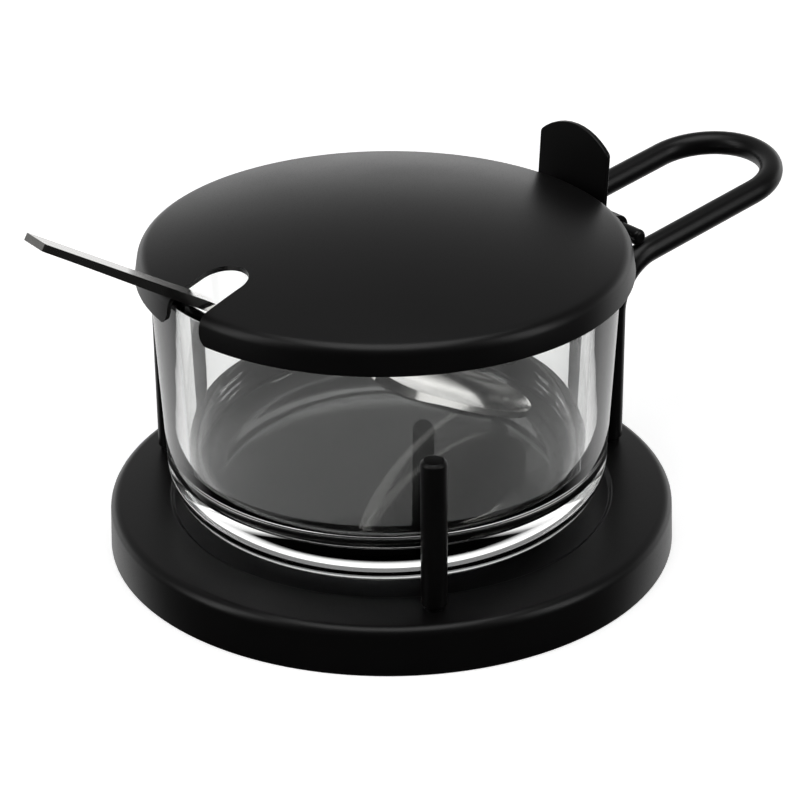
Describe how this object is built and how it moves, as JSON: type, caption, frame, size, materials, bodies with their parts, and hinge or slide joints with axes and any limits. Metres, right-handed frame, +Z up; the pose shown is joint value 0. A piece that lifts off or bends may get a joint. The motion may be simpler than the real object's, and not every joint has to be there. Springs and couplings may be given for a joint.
{
  "type": "sugar bowl",
  "caption": "Glass sugar bowl on a round black metal stand with a wire handle, a hinged domed lid with a spoon slot, and a steel spoon.",
  "frame": {"origin": "centre of the round stand, on the plane that the stand rests on", "axes": "+Z up, +X from the centre towards the handle, with the lid's spoon slot on the -X side"},
  "size_m": [0.1923, 0.12, 0.0902],
  "materials": {
    "black_coating": "satin black coating on steel",
    "clear_glass": "clear pressed glass with a fire-polished surface",
    "polished_steel": "polished stainless steel",
    "screw_steel": "zinc-plated steel"
  },
  "bodies": {
    "stand": {"base_plate": "black_coating", "side_post_left": "black_coating", "side_post_right": "black_coating", "post_screws": "screw_steel", "handle_wire": "black_coating", "handle_screws": "screw_steel", "hinge_bar": "black_coating"},
    "lid": {"lid_shell": "black_coating", "thumb_tab": "black_coating"},
    "glass": {"glass_bowl": "clear_glass"},
    "spoon_body": {"spoon": "polished_steel"}
  },
  "joints": [
    {"name": "lid_hinge", "type": "hinge", "parent": "stand", "child": "lid", "pos_m": [0.0573, 0, 0.0563], "axis": [0, 1, 0], "range_deg": [0, 115]},
    {"name": "glass_turn", "type": "hinge", "parent": "stand", "child": "glass", "pos_m": [-0.001, 0, 0.0097], "axis": [0, 0, 1], "continuous": true},
    {"name": "spoon_slide", "type": "slide", "parent": "stand", "child": "spoon_body", "axis": [-0.8142, 0.0484, 0.5786], "range_m": [0, 0.025]}
  ]
}
